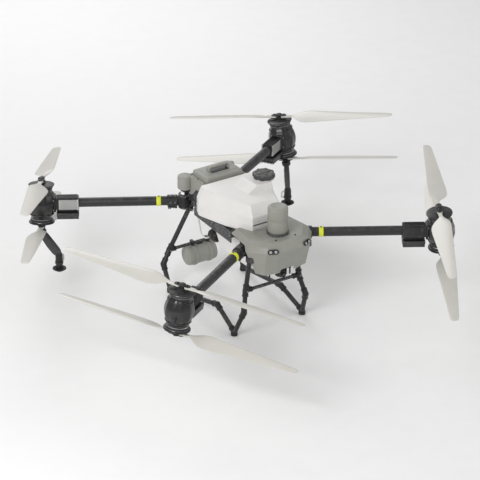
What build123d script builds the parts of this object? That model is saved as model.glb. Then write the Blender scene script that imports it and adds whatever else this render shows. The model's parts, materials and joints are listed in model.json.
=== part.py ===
"""Agricultural spray drone: four folding arms, eight rotors, lift-out tank and battery.

Frame: millimetres, +Z up, nose towards -Y, the aircraft's left side towards +X.
The origin lies on the ground under the middle of the whole machine's box.
"""
import os
from math import atan2, cos, degrees, hypot, radians, sin, tan

from build123d import *

# ---- driving dimensions -------------------------------------------------------
FORE_AFT_SHIFT = 15.645     # moves the body so that the frame's origin is mid length
DECK = 522.0                # height of the motor centres and arm tubes above ground

ARM_ENDS = {
    # hinge and motor positions on the left side, tilt of the motor axis inwards and
    # fore-aft, folded heading, hinge tilt, heading of blade A at rest
    "front": dict(hinge=(162.0, -326.0), motor=(831.0, -736.0), tilt=(7.15, -2.34),
                  folded=62.0, lean=-0.12, blade_heading=58.5),
    "rear": dict(hinge=(127.0, 335.0), motor=(800.0, 736.0), tilt=(5.54, 7.37),
                 folded=-60.0, lean=0.085, blade_heading=-53.0),
}

TUBE_R = 26.0
TUBE_WALL = 3.0
PIN_R = 12.0
RUNNING_GAP = 0.05
KNUCKLE_R = 29.0
KNUCKLE_HALF = 31.0
EAR_T = 9.0
COLLAR_R = 33.0
COLLAR_SPAN = (36.0, 92.0)
LUG_X = COLLAR_SPAN[1] - 12
LUG_Z = -(COLLAR_R + 7)
LEVER_LENGTH = 42.0
LEVER_PIN_R = 2.5
BRACKET_REACH = 205.0       # motor bracket's inner end, from the motor axis
SADDLE_REACH = 78.0
BAND_FROM_MOTOR = 632.0
BAND_W = 24.0

POD_HALF = 84.0
POD_R = 79.0
POD_END_R = 54.0
BELL_R = 65.0
BELL_SPAN = (86.0, 112.0)
BLADE_LEVEL = 131.0
BLADE_T = 11.0
GRIP_T = 4.0
PIVOT_OFFSET = 27.0
PIVOT_R = 4.0
ROTOR_R = 686.0
HUB_CORE_R = 10.0
AXLE_R = 6.0

RAIL_FRONT = (138.7, -262.0)
RAIL_REAR = (109.6, 270.0)
RAIL_END_GAP = 1.0
RAIL_W = 22.0
RAIL_H = 44.0
SKIRT_SPAN = (55.0, 455.0)  # outer skirt along the rail, from its front end
SKIRT_OUT = 31.0
SKIRT_T = 5.0
SKIRT_DROP = 24.0
LEG_R = 13.0
BAR_R = 9.5
HOSE_R = 4.5


# ---- small helpers ------------------------------------------------------------
def rod(start, end, radius):
    """Round bar between two points."""
    a, b = Vector(*start), Vector(*end)
    axis = b - a
    plane = Plane(origin=a, z_dir=axis)
    return plane.location * Cylinder(radius, axis.length, align=(Align.CENTER, Align.CENTER, Align.MIN))


def drum(radius, low, high, x=0.0, y=0.0):
    """Upright cylinder between two heights."""
    return Pos(x, y, low) * Cylinder(radius, high - low, align=(Align.CENTER, Align.CENTER, Align.MIN))


def block(x_span, y_span, z_span):
    """Box given by its spans."""
    size = [b - a for a, b in (x_span, y_span, z_span)]
    mid = [(a + b) / 2 for a, b in (x_span, y_span, z_span)]
    return Pos(*mid) * Box(*size)


def outline_face(points, height):
    """Flat polygon at one height."""
    return Pos(0, 0, height) * make_face(Polyline(*[(x, y) for x, y in points], close=True))


def prism(points, low, high):
    """Straight prism on a polygon."""
    return extrude(outline_face(points, low), amount=high - low, dir=(0, 0, 1))


def skinned(*levels):
    """Ruled solid through polygons of equal corner count, given as (points, height)."""
    return loft([outline_face(points, height) for points, height in levels], ruled=True)


def both_sides(half):
    """Close an outline given for x >= 0 by its mirror image."""
    return list(half) + [(-x, y) for x, y in reversed(half) if abs(x) > 1e-6]


def mirrored(shape):
    return mirror(shape, about=Plane.YZ)


def group(*shapes):
    """Separate solids kept side by side in one node."""
    solids = []
    for shape in shapes:
        solids.extend(shape.solids())
    return Compound(children=solids)


def in_frame(shape):
    """The node's solids moved into the machine's frame."""
    return group(*(Pos(0, FORE_AFT_SHIFT, 0) * solid for solid in shape.solids()))


# ---- arm geometry -------------------------------------------------------------
class ArmSide:
    """Planes of one left-hand arm: hinge, tube and motor."""

    def __init__(self, end):
        data = ARM_ENDS[end]
        hx, hy = data["hinge"]
        mx, my = data["motor"]
        self.end = end
        self.length = hypot(mx - hx, my - hy)
        self.heading = degrees(atan2(my - hy, mx - hx))
        self.direction = Vector(cos(radians(self.heading)), sin(radians(self.heading)), 0)
        folded = radians(data["folded"])
        lean = data["lean"]
        self.hinge_axis = Vector(lean * cos(folded), lean * sin(folded), 1).normalized()
        self.hinge_point = Vector(hx, hy, DECK)
        self.motor_point = Vector(mx, my, DECK)
        tilt_in, tilt_aft = (radians(a) for a in data["tilt"])
        self.motor_axis = Vector(-tan(tilt_in), tan(tilt_aft), 1).normalized()
        self.hinge_plane = Plane(origin=self.hinge_point, x_dir=self._flat(self.hinge_axis, self.direction),
                                 z_dir=self.hinge_axis)
        self.arm_plane = Plane(origin=self.hinge_point, x_dir=self.direction, z_dir=(0, 0, 1))
        self.motor_plane = Plane(origin=self.motor_point, x_dir=self._flat(self.motor_axis, self.direction),
                                 z_dir=self.motor_axis)
        blade = radians(data["blade_heading"])
        blade_dir = self._flat(self.motor_axis, Vector(cos(blade), sin(blade), 0))
        self.blade_plane = Plane(origin=self.motor_point, x_dir=blade_dir, z_dir=self.motor_axis)

    @staticmethod
    def _flat(axis, direction):
        """The direction's part square to the axis."""
        return (direction - axis * direction.dot(axis)).normalized()


def arm_node(side):
    """Carbon tube with its hinge knuckle, latch collar, yellow band and motor bracket."""
    tube_start, tube_end = COLLAR_SPAN[0] + 6, side.length - 54.0
    tube = rod((tube_start, 0, 0), (tube_end, 0, 0), TUBE_R)
    tube -= rod((tube_start - 1, 0, 0), (tube_end + 1, 0, 0), TUBE_R - TUBE_WALL)
    collar = rod((COLLAR_SPAN[0], 0, 0), (COLLAR_SPAN[1], 0, 0), COLLAR_R)
    collar += block((8, COLLAR_SPAN[0] + 2), (-22, 22), (-24, 24))
    for y_span in ((-13, -8), (8, 13)):
        collar += block((LUG_X - 8, LUG_X + 8), y_span, (LUG_Z - 6, -COLLAR_R + 8))
    collar -= rod((tube_start, 0, 0), (COLLAR_SPAN[1] + 1, 0, 0), TUBE_R)
    collar -= rod((LUG_X, -30, LUG_Z), (LUG_X, 30, LUG_Z), LEVER_PIN_R + RUNNING_GAP)
    knuckle = side.hinge_plane.location * drum(KNUCKLE_R, -KNUCKLE_HALF, KNUCKLE_HALF)
    base = knuckle + side.arm_plane.location * collar
    base -= side.hinge_plane.location * drum(PIN_R + RUNNING_GAP, -60, 60)
    band_end = side.length - BAND_FROM_MOTOR
    band = rod((band_end - BAND_W, 0, 0), (band_end, 0, 0), TUBE_R + 2.2)
    band -= rod((band_end - BAND_W - 1, 0, 0), (band_end + 1, 0, 0), TUBE_R)
    root = side.length - BRACKET_REACH
    sleeve = block((root, side.length - SADDLE_REACH), (-31, 31), (-33, 36))
    sleeve = chamfer(sleeve.edges().filter_by(Axis.X), 8)
    sleeve -= rod((root - 1, 0, 0), (side.length, 0, 0), TUBE_R)
    return group(base, *(side.arm_plane.location * piece for piece in (tube, band, sleeve)))


def lever_node(side):
    """Quick-release lever that locks the unfolded arm, pivoting under the latch collar."""
    eye = rod((LUG_X, -7.6, LUG_Z), (LUG_X, 7.6, LUG_Z), 6.0)
    handle = block((LUG_X - LEVER_LENGTH, LUG_X), (-7.6, 7.6), (LUG_Z - 3.5, LUG_Z + 2.5))
    pin = rod((LUG_X, -15, LUG_Z), (LUG_X, 15, LUG_Z), LEVER_PIN_R)
    return side.arm_plane.location * (eye + handle + pin)


def motor_node(side, lance):
    """Coaxial motor pod with its bearing rings, speed controller and mounting saddle."""
    half = [(0, -POD_HALF), (POD_END_R, -POD_HALF), (POD_END_R + 6, -68), (POD_R - 8, -44), (POD_R, -14),
            (POD_R, 14), (POD_R - 8, 44), (POD_END_R + 6, 68), (POD_END_R, POD_HALF), (0, POD_HALF)]
    profile = make_face(Plane.XZ * Polyline(*half, close=True))
    pod = revolve(profile, axis=Axis.Z)
    pod -= block((-200, -49), (-100, 100), (-100, 100))
    if lance:
        pod += drum(AXLE_R, -152, -POD_HALF + 1)
    pod = side.motor_plane.location * pod
    saddle = block((side.length - SADDLE_REACH, side.length - 44), (-36, 36), (-44, 44))
    saddle = side.arm_plane.location * (saddle - rod((side.length - 90, 0, 0), (side.length - 20, 0, 0), TUBE_R))
    saddle -= pod
    case_x = (side.length - BRACKET_REACH, side.length - 82)
    case = block(case_x, (-42, 42), (-84, -46))
    for fin in range(7):
        y = -36 + 12 * fin
        case -= block((case_x[0] - 1, case_x[1] + 1), (y - 3.2, y + 3.2), (-85, -66))
    mount = block((case_x[0] + 10, case_x[1] - 10), (-20, 20), (-46, -33))
    speed_controller = side.arm_plane.location * (case + mount)
    return group(pod, saddle, speed_controller)


# ---- rotors -------------------------------------------------------------------
def hub_local(lance_hole):
    """Motor bell with the two grip plates; blade level positive, axis +Z."""
    bell = drum(BELL_R, *BELL_SPAN)
    bell = chamfer(bell.edges().group_by(Axis.Z)[-1], 5)
    low = BLADE_LEVEL - BLADE_T / 2 - 0.4
    high = BLADE_LEVEL + BLADE_T / 2 + 0.4
    plate = SlotOverall(2 * PIVOT_OFFSET + 36, 36)
    hub = bell + extrude(Pos(0, 0, low - GRIP_T) * plate, amount=GRIP_T)
    hub += extrude(Pos(0, 0, high) * plate, amount=GRIP_T)
    hub += drum(HUB_CORE_R, BELL_SPAN[0], high + GRIP_T)
    hub += drum(26, BELL_SPAN[1] - 1, low - GRIP_T + 0.5)
    for x in (-PIVOT_OFFSET, PIVOT_OFFSET):
        hub += drum(PIVOT_R, BELL_SPAN[1] - 1, high + GRIP_T + 2, x)
        hub += drum(7, high + GRIP_T, high + GRIP_T + 4, x)
    if lance_hole:
        hub -= drum(AXLE_R + RUNNING_GAP, BELL_SPAN[0] - 1, high + GRIP_T + 10)
    return hub


def blade_section(radius, chord, pitch, thickness, sweep=0.0):
    """Six-cornered blade section standing across the X axis."""
    corners = [(-0.5, 0.0), (-0.3, 0.42), (0.1, 0.5), (0.5, 0.0), (0.1, -0.5), (-0.3, -0.42)]
    turn = radians(pitch)
    points = []
    for along, up in corners:
        y = along * chord
        z = up * thickness
        points.append(Vector(radius, sweep + y * cos(turn) - z * sin(turn), y * sin(turn) + z * cos(turn)))
    return make_face(Polyline(*points, close=True))


def blade_local():
    """One folding blade along +X with its root eye on the pivot, mid-plane at z = 0."""
    eye = Pos(PIVOT_OFFSET, 0, 0) * Cylinder(15, BLADE_T)
    neck = block((PIVOT_OFFSET, 74), (-10, 10), (-BLADE_T / 2, BLADE_T / 2))
    stations = [(72, 19, 4, 10.8), (100, 46, 9, 10.0), (178, 110, 15, 8.6), (440, 78, 9, 5.4), (ROTOR_R, 46, 5, 3.0)]
    sections = [blade_section(*station) for station in stations]
    blade = eye + neck + loft(sections, ruled=True)
    blade -= Pos(PIVOT_OFFSET, 0, 0) * Cylinder(PIVOT_R + RUNNING_GAP, BLADE_T + 8)
    return blade


def turned(shape, about_z):
    return Rot(0, 0, about_z) * shape


# ---- spray lance --------------------------------------------------------------
NOZZLE_OFFSET = (-46.0, -99.0)      # from the motor, towards the body and the nose
NOZZLE_DISC_Z = 158.0
NOZZLE_R = 19.0
DISC_R = 38.0
DISC_SHAFT_R = 4.0


def nozzle_spot(side):
    """Centre of the spinning disc."""
    foot = side.motor_point - side.motor_axis * 109
    return Vector(foot.X + NOZZLE_OFFSET[0], foot.Y + NOZZLE_OFFSET[1], NOZZLE_DISC_Z)


def lance_node(side):
    """Slanted arm below the lower rotor with the nozzle motor at its end."""
    spot = nozzle_spot(side)
    cup = side.motor_plane.location * (drum(25, -176, -152) - drum(AXLE_R, -160, -150))
    start = side.motor_point - side.motor_axis * 166
    bend = Vector(spot.X, spot.Y, spot.Z + 84)
    beam = rod(tuple(start), tuple(bend), 13)
    barrel = drum(NOZZLE_R, spot.Z + 12, spot.Z + 92, spot.X, spot.Y)
    collar = drum(NOZZLE_R + 4, spot.Z + 30, spot.Z + 44, spot.X, spot.Y)
    body = cup + beam + barrel + collar
    body -= side.motor_plane.location * drum(AXLE_R, -160, -150)
    body -= drum(DISC_SHAFT_R + RUNNING_GAP, spot.Z, spot.Z + 40, spot.X, spot.Y)
    return body


def disc_node(side):
    """Spinning atomiser disc with its shaft."""
    spot = nozzle_spot(side)
    disc = drum(DISC_R, spot.Z - 5, spot.Z + 3, spot.X, spot.Y)
    disc += drum(17, spot.Z + 2, spot.Z + 11, spot.X, spot.Y)
    disc += drum(22, spot.Z - 14, spot.Z - 4, spot.X, spot.Y)
    disc += drum(DISC_SHAFT_R, spot.Z, spot.Z + 38, spot.X, spot.Y)
    return disc


# ---- main frame ---------------------------------------------------------------
def rail_node():
    """Left side rail between the crossmembers: hollow beam, three spacers and a deep outer skirt."""
    start, end = Vector(*RAIL_FRONT, DECK - 2), Vector(*RAIL_REAR, DECK - 2)
    length = (end - start).length
    plane = Plane(origin=start, x_dir=end - start, z_dir=(0, 0, 1))
    beam = block((0, length), (-RAIL_W / 2, RAIL_W / 2), (0, RAIL_H))
    beam = chamfer(beam.edges().filter_by(Axis.X), 4)
    beam -= block((12, length - 12), (-RAIL_W / 2 + 4, RAIL_W / 2 - 4), (5, RAIL_H - 5))
    start_x, end_x = SKIRT_SPAN
    skirt = block((start_x, end_x), (-SKIRT_OUT - SKIRT_T, -SKIRT_OUT), (-SKIRT_DROP, RAIL_H - 1))
    pieces = [beam, skirt]
    for x in (start_x + 12, (start_x + end_x) / 2, end_x - 12):
        pieces.append(block((x - 12, x + 12), (-SKIRT_OUT, -RAIL_W / 2), (6, RAIL_H - 6)))
    return group(*(plane.location * piece for piece in pieces))


def hinge_bracket(side):
    """Two ears and their web round the arm's knuckle."""
    gap = KNUCKLE_HALF + 0.4
    top = gap + EAR_T
    bracket = None
    back = degrees(atan2(0, -1)) - side.heading
    for low, high in ((gap, top), (-top, -gap)):
        ear = drum(31, low, high) + turned(block((0, 56), (-31, 31), (low, high)), back)
        bracket = ear if bracket is None else bracket + ear
    bracket += turned(block((44, 58), (-31, 31), (-top, top)), back)
    bracket -= drum(PIN_R, -70, 70)
    return side.hinge_plane.location * bracket


def crossmember_node(sides):
    """Front and rear cross beams, each one piece with its two hinge brackets."""
    beams = []
    for side in sides.values():
        hx, hy = side.hinge_point.X, side.hinge_point.Y
        beam = block((-hx + 50, hx - 50), (hy - 17, hy + 17), (DECK - 26, DECK + 26))
        beam -= block((-hx + 62, hx - 62), (hy - 11, hy + 11), (DECK - 20, DECK + 20))
        rail_end = min(RAIL_FRONT, RAIL_REAR, key=lambda spot: abs(spot[1] - hy))
        edge = hy + (17 if hy < 0 else -17)
        face = rail_end[1] + (-RAIL_END_GAP if hy < 0 else RAIL_END_GAP)
        link = block((hx - 62, hx - 30), sorted((edge, face)), (DECK - 2, DECK + 42))
        half = hinge_bracket(side) + link
        beams.append(beam + half + mirrored(half))
    return group(*beams)


def hinge_pins_node(sides):
    """Four hinge pins with heads above and nuts below the ears."""
    reach = KNUCKLE_HALF + 0.4 + EAR_T
    pins = []
    for side in sides.values():
        pin = drum(PIN_R, -reach - 10, reach) + drum(18, reach, reach + 5) + drum(17, -reach - 11, -reach)
        pin = side.hinge_plane.location * pin
        pins += [pin, mirrored(pin)]
    return group(*pins)


# ---- nose ---------------------------------------------------------------------
NOSE_RIM_Z = DECK + 50.0
NOSE_ROOF_Z = DECK + 70.0
NOSE_CREASE_Z = DECK + 20.0
NOSE_CHIN_Z = DECK - 120.0
NOSE_ROOF = [(150, -236), (176, -382), (100, -484), (60, -496)]
NOSE_RIM = [(189, -232), (206, -390), (128, -500), (71, -514)]
NOSE_RIM_FRONT = [(196, -409), (206, -410), (128, -500), (71, -514)]
NOSE_CREASE = [(204, -409), (214, -410), (140, -506), (82, -532)]
NOSE_CHIN = [(140, -402), (160, -424), (134, -470), (66, -488)]
TANK_CLEARANCE = [(105, -312), (174, -144), (176, -100)]


def inset(points, amount):
    """Pull an outline's corners towards its middle."""
    cy = sum(y for _, y in points) / len(points)
    pulled = []
    for x, y in points:
        reach = hypot(x, y - cy)
        pulled.append((x * (1 - amount / reach), cy + (y - cy) * (1 - amount / reach)))
    return pulled


def nose_node():
    """Thin moulded cover over the front crossmember, open below and beside the arms."""
    wall = 5.0
    layers = ((NOSE_RIM, NOSE_RIM_Z, NOSE_ROOF, NOSE_ROOF_Z), (NOSE_CREASE, NOSE_CREASE_Z, NOSE_RIM_FRONT, NOSE_RIM_Z),
              (NOSE_CHIN, NOSE_CHIN_Z, NOSE_CREASE, NOSE_CREASE_Z))
    cover, hollow = None, None
    for low, low_z, high, high_z in layers:
        outer = skinned((both_sides(low), low_z), (both_sides(high), high_z))
        under = wall if high is NOSE_ROOF else -0.1
        inner = skinned((both_sides(inset(low, wall)), low_z - 0.1), (both_sides(inset(high, wall)), high_z - under))
        cover = outer if cover is None else cover + outer
        hollow = inner if hollow is None else hollow + inner
    cover -= hollow
    cover -= prism(both_sides(TANK_CLEARANCE), NOSE_RIM_Z - 10, NOSE_ROOF_Z + 10)
    cover -= block((-46, 46), (-520, -380), (NOSE_CHIN_Z - 8, DECK - 98))
    cover -= block((-108, 108), (-418, -396), (NOSE_CHIN_Z - 1, NOSE_RIM_Z - 1))
    return cover


def vision_node():
    """Twin-lens windows on the nose's two corner facets."""
    windows = []
    for lens_side in (1, -1):
        plane = Plane(origin=(lens_side * 111, -519.5, DECK + 10), x_dir=(58, lens_side * 26, 0),
                      z_dir=(lens_side * 26, -58, 0))
        frame = extrude(SlotOverall(58, 25), amount=4)
        for x in (-15, 15):
            frame += Pos(x, 0, 4) * Cylinder(9.5, 3, align=(Align.CENTER, Align.CENTER, Align.MIN))
        windows.append(plane.location * frame)
    return group(*windows)


def front_radar_node():
    """Upright radar dome, its base ring and the antenna board inside."""
    y = -400.0
    base = drum(59, NOSE_ROOF_Z + 0.2, DECK + 86, 0, y)
    dome = drum(55, DECK + 86, DECK + 228, 0, y)
    dome = fillet(dome.edges().group_by(Axis.Z)[-1], 10)
    shell = base + dome - drum(50, DECK + 74, DECK + 220, 0, y)
    board = block((-36, 36), (y - 3, y + 3), (DECK + 88, DECK + 205))
    stand = drum(30, DECK + 74, DECK + 88, 0, y)
    return group(shell, board + stand)


CAMERA_PIVOT = (0.0, -433.0, DECK - 157.0)


def camera_bracket_node():
    """Arched bracket for the forward camera with two stub aerials."""
    x, y, z = CAMERA_PIVOT
    arch = block((-58, 58), (y - 14, y + 22), (z + 27, z + 33))
    for side in (1, -1):
        arch += block(sorted((side * 24.5, side * 30)), (y - 12, y + 12), (z - 10, z + 28))
        arch += block(sorted((side * 46, side * 58)), (y - 10, y + 18), (z + 20, z + 42))
        arch -= rod((side * 20, y, z), (side * 34, y, z), 3 + RUNNING_GAP)
    aerials = []
    for side in (1, -1):
        aerials.append(drum(4.5, z - 26, z + 27, side * 66, y + 12))
        arch += block(sorted((side * 56, side * 72)), (y + 5, y + 19), (z + 27, z + 33))
    return group(arch, *aerials)


def camera_node():
    """Tilting forward camera with its lens and trunnions."""
    x, y, z = CAMERA_PIVOT
    case = chamfer(block((-20, 20), (y - 22, y + 20), (z - 20, z + 20)).edges().filter_by(Axis.X), 7)
    lens = rod((0, y - 21, z), (0, y - 30, z), 13) - rod((0, y - 27, z), (0, y - 31, z), 9)
    trunnion = rod((-29, y, z), (29, y, z), 3)
    return case + lens + trunnion


# ---- tank ---------------------------------------------------------------------
TANK_SIDE = [(98, -305), (165, -142), (216, 47), (198, 92)]
TANK_TOP = [(86, -262), (134, -142), (178, 40), (170, 90)]
TANK_LOWER = [(84, -290), (96, -280), (103, 60), (98, 90)]
TANK_SUMP = [(62, -230), (78, -216), (78, 40), (62, 60)]
LID_AT = (128.0, -74.0)
LID_BASE = DECK + 237.0
NECK_R = 50.0
LID_R = 61.0


def tank_node():
    """Moulded tank: wide shoulders over the rails, sump between them, raised filler deck."""
    foot = DECK + 43.5
    outer = skinned((both_sides(TANK_SIDE), foot), (both_sides(TANK_SIDE), DECK + 140))
    outer += skinned((both_sides(TANK_SIDE), DECK + 140), (both_sides(TANK_TOP), DECK + 198))
    outer += skinned((both_sides(TANK_SUMP), DECK - 190), (both_sides(TANK_LOWER), DECK - 40))
    outer += prism(both_sides(TANK_LOWER), DECK - 40, foot + 1)
    deck_low = [(-24, 6), (-24, -146), (150, -146), (186, 6)]
    deck_high = [(34, 2), (34, -142), (146, -142), (182, 2)]
    outer += skinned((deck_low, DECK + 196), (deck_high, DECK + 232))
    outer += drum(NECK_R, DECK + 230, LID_BASE + 26, *LID_AT)
    wall = 6.0
    hollow = skinned((both_sides(inset(TANK_SIDE, wall)), foot + wall),
                     (both_sides(inset(TANK_SIDE, wall)), DECK + 138))
    hollow += skinned((both_sides(inset(TANK_SIDE, wall)), DECK + 138),
                      (both_sides(inset(TANK_TOP, wall)), DECK + 198 - wall))
    hollow += skinned((both_sides(inset(TANK_SUMP, wall)), DECK - 190 + wall),
                      (both_sides(inset(TANK_LOWER, wall)), DECK - 40))
    hollow += prism(both_sides(inset(TANK_LOWER, wall)), DECK - 40.1, foot + wall + 1)
    hollow += drum(NECK_R - 7, DECK + 180, LID_BASE + 40, *LID_AT)
    return outer - hollow


def lid_node():
    """Lobed screw lid that turns on the filler neck."""
    lid = drum(LID_R - 5, LID_BASE, LID_BASE + 30, *LID_AT)
    for lobe in range(8):
        turn = radians(45 * lobe)
        lid += drum(12, LID_BASE + 3, LID_BASE + 28, LID_AT[0] + (LID_R - 12) * cos(turn),
                    LID_AT[1] + (LID_R - 12) * sin(turn))
    return lid - drum(NECK_R + 0.4, LID_BASE - 1, LID_BASE + 26.4, *LID_AT)


# ---- battery and rear ---------------------------------------------------------
BATTERY_X = 118.0
BATTERY_Y = (112.0, 262.0)
BATTERY_Z = (DECK + 50.0, DECK + 214.0)


def battery_node():
    """Lift-out battery with its carrying handle."""
    case = block((-BATTERY_X, BATTERY_X), BATTERY_Y, BATTERY_Z)
    case = chamfer(case.edges().filter_by(Axis.Z), 10)
    mid_y = sum(BATTERY_Y) / 2
    handle = block((-70, 70), (mid_y - 16, mid_y + 16), (BATTERY_Z[1] - 1, BATTERY_Z[1] + 34))
    handle = chamfer(handle.edges().filter_by(Axis.Y).group_by(Axis.Z)[-1], 12)
    handle -= block((-52, 52), (mid_y - 20, mid_y + 20), (BATTERY_Z[1], BATTERY_Z[1] + 22))
    return case + handle


AERIAL_AT = (151.0, 284.0)
AERIAL_BASE_Z = DECK + 104.0
DOME_R = 41.0


def battery_bay_node():
    """Open-topped rear housing: floor and four walls, aerial dome on the right, cone on the left."""
    gap, top = 2.5, DECK + 186
    outer_x, inner_x = BATTERY_X + 16, BATTERY_X + gap
    y0, y1 = BATTERY_Y[0] - 14, BATTERY_Y[1] + 16
    inner_y = (BATTERY_Y[0] - gap, BATTERY_Y[1] + gap)
    floor_top = BATTERY_Z[0] - gap
    walls = [block((-outer_x, outer_x), (y0, y1), (DECK + 42.2, floor_top))]
    for y_span in ((y0, inner_y[0]), (inner_y[1], y1)):
        walls.append(block((-outer_x, outer_x), y_span, (floor_top, top)))
    for side in (1, -1):
        walls.append(block(sorted((side * inner_x, side * outer_x)), inner_y, (floor_top, top)))
    x, y = AERIAL_AT
    box = block((-outer_x, outer_x), (y0, y1), (DECK, top + 10))
    aerials = []
    for side, radius in ((1, 26), (-1, DOME_R)):
        shelf = block(sorted((side * outer_x, side * (x + 26))), (y - 34, y + 20), (AERIAL_BASE_Z - 14, AERIAL_BASE_Z))
        foot = drum(radius, AERIAL_BASE_Z, AERIAL_BASE_Z + (18 if side > 0 else 75), side * x, y)
        aerials.append(shelf + (foot - box))
    cone = Pos(x, y, AERIAL_BASE_Z + 18) * Cone(24, 15, 63, align=(Align.CENTER, Align.CENTER, Align.MIN))
    return group(*walls, *aerials, cone - box)


def avionics_node():
    """Flight controller in the nose and power board under the battery."""
    controller = chamfer(block((-60, 60), (-456, -366), (DECK + 2, DECK + 40)).edges().filter_by(Axis.Z), 6)
    board = block((-80, 80), (182, 262), (DECK - 16, DECK + 6))
    return group(controller, board)


# ---- landing gear -------------------------------------------------------------
FRONT_LEG = [(152, -362, 468), (172, -351, 273), (201, -378, 157), (222, -315, 12)]
REAR_LEG = [(88, 335, 474), (199, 378, 219), (250, 360, 152), (243, 302, 12)]
SKID = [(222, -312, 22), (208, -127, 100), (243, 298, 22)]


def landing_gear_node():
    """Left frame: front leg, rear leg, arched skid tube between the feet, joints and feet."""
    gear = None
    for path in (FRONT_LEG, REAR_LEG, SKID):
        for start, end in zip(path, path[1:]):
            tube = rod(start, end, LEG_R)
            gear = tube if gear is None else gear + tube
        for x, y, z in path[1:-1]:
            gear += Pos(x, y, z) * Sphere(LEG_R + 5)
    for leg in (FRONT_LEG, REAR_LEG):
        x, y, _ = leg[-1]
        gear += drum(19, 0, 26, x, y)
    gear += block((132, 170), (-378, -345), (460, 476))
    gear += block((72, 104), (324, 351), (466, 480.8))
    return gear


def crossbars_node():
    """Cross tubes between the left and right legs, front and rear."""
    bars = []
    for x, y, z in (FRONT_LEG[1], REAR_LEG[1]):
        reach = x - LEG_R - 5.2
        bars.append(rod((-reach, y, z), (reach, y, z), BAR_R))
    return group(*bars)


def rear_radar_node():
    """Horizontal rear radar hung from the rear crossbar by two clamps."""
    _, y, bar_z = REAR_LEG[1]
    z, radius = bar_z - 71.0, 56.0
    shell = rod((-90, y, z), (90, y, z), radius)
    shell = fillet(shell.edges(), 8) - rod((-82, y, z), (82, y, z), radius - 5)
    board = block((-70, 70), (y - 3, y + 3), (z - 40, z + 40))
    clamps = []
    for x in (-48, 48):
        ring = rod((x - 9, y, z), (x + 9, y, z), radius + 5) - rod((x - 10, y, z), (x + 10, y, z), radius)
        ring += block((x - 9, x + 9), (y - 17, y + 17), (z + radius + 3, bar_z + 17))
        ring -= rod((x - 10, y, bar_z), (x + 10, y, bar_z), BAR_R)
        clamps.append(ring)
    return group(shell, board, *clamps)


# ---- liquid system ------------------------------------------------------------
PUMP_AT = (56.0, 128.0, DECK - 150.0)


def pumps_node():
    """Tray under the rails with two round pumps on hangers, their manifold and the hose fittings."""
    x, y, z = PUMP_AT
    pieces = [block((-124, 124), (104, 168), (DECK - 12, DECK - 2.2)), block((-24, 24), (y - 12, y + 12), (z - 14, z + 10))]
    for side in (1, -1):
        pump = rod((side * x, y - 30, z), (side * x, y + 30, z), 32)
        pump += rod((side * x, y + 28, z), (side * x, y + 44, z), 20)
        pump += rod((side * (x + 20), y, z), (side * (x + 42), y, z), 11)
        hanger = block(sorted((side * (x - 10), side * (x + 10))), (y - 20, y + 20), (z + 20, DECK - 12))
        fitting = block(sorted((side * 84, side * 104)), (302, 322), (DECK - 62, DECK - 42))
        pieces += [pump, hanger - pump, fitting]
    return group(*pieces)


HOSE_ROUTE = [(98.2, 128, 372), (120, 128, 372), (128, 158, 386), (112, 196, 410), (96, 238, 446), (94, 272, 470),
              (94, 301.8, 470)]


def hoses_node():
    """White liquid hoses from the pumps to the fittings under the rear crossmember."""
    points = [Vector(*p) for p in HOSE_ROUTE]
    radii = []
    for a, b, c in zip(points, points[1:], points[2:]):
        run = min((b - a).length, (c - b).length)
        half_turn = radians((b - a).get_angle(c - b)) / 2
        radii.append(0.45 * run / tan(half_turn))
    path = FilletPolyline(*points, radius=radii)
    section = Plane(origin=points[0], z_dir=path % 0) * Circle(HOSE_R)
    hose = sweep(section, path=path)
    return group(hose, mirrored(hose))


# ---- assembly -----------------------------------------------------------------
def build():
    sides = {end: ArmSide(end) for end in ARM_ENDS}
    nodes = {}

    def add_pair(pattern, shape):
        nodes[pattern.format("left")] = shape
        nodes[pattern.format("right")] = mirrored(shape)

    blade = blade_local()
    for end, side in sides.items():
        lance = end == "rear"
        add_pair(end + "_{}_arm", arm_node(side))
        add_pair(end + "_{}_lock_lever", lever_node(side))
        add_pair(end + "_{}_motor", motor_node(side, lance))
        for level, flip in (("upper", 1), ("lower", -1)):
            hub = hub_local(lance and flip < 0)
            if flip < 0:
                hub = mirror(hub, about=Plane.XY)
            add_pair(f"{end}_{{}}_{level}_hub", side.blade_plane.location * hub)
            airfoil = blade if flip > 0 else mirror(blade, about=Plane.XZ)
            for name, turn in (("a", 0), ("b", 180)):
                placed = Pos(0, 0, flip * BLADE_LEVEL) * turned(airfoil, turn)
                add_pair(f"{end}_{{}}_{level}_blade_{name}", side.blade_plane.location * placed)
    rear = sides["rear"]
    add_pair("{}_spray_lance", lance_node(rear))
    add_pair("{}_atomiser_disc", disc_node(rear))

    add_pair("side_rail_{}", rail_node())
    add_pair("landing_gear_{}", landing_gear_node())
    nodes["crossmembers"] = crossmember_node(sides)
    nodes["arm_hinge_pins"] = hinge_pins_node(sides)
    nodes["crossbars"] = crossbars_node()
    nodes["nose_cover"] = nose_node()
    nodes["vision_sensors"] = vision_node()
    nodes["front_radar"] = front_radar_node()
    nodes["rear_radar"] = rear_radar_node()
    nodes["camera_bracket"] = camera_bracket_node()
    nodes["forward_camera"] = camera_node()
    nodes["spray_tank"] = tank_node()
    nodes["tank_lid"] = lid_node()
    nodes["battery"] = battery_node()
    nodes["battery_bay"] = battery_bay_node()
    nodes["avionics"] = avionics_node()
    nodes["pumps"] = pumps_node()
    nodes["liquid_hoses"] = hoses_node()
    return nodes


def main():
    os.makedirs("parts", exist_ok=True)
    for name, shape in build().items():
        export_step(in_frame(shape), f"parts/{name}.step")


main()
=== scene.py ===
"""Looks of the agricultural spray drone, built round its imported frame.

Objects are in metres; the numbers inside a shape are millimetres, in the frame its function names.
"""

import json
from math import cos, hypot, pi, radians, sin, sqrt

import bmesh
import bpy
from mathutils import Matrix, Vector


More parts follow.
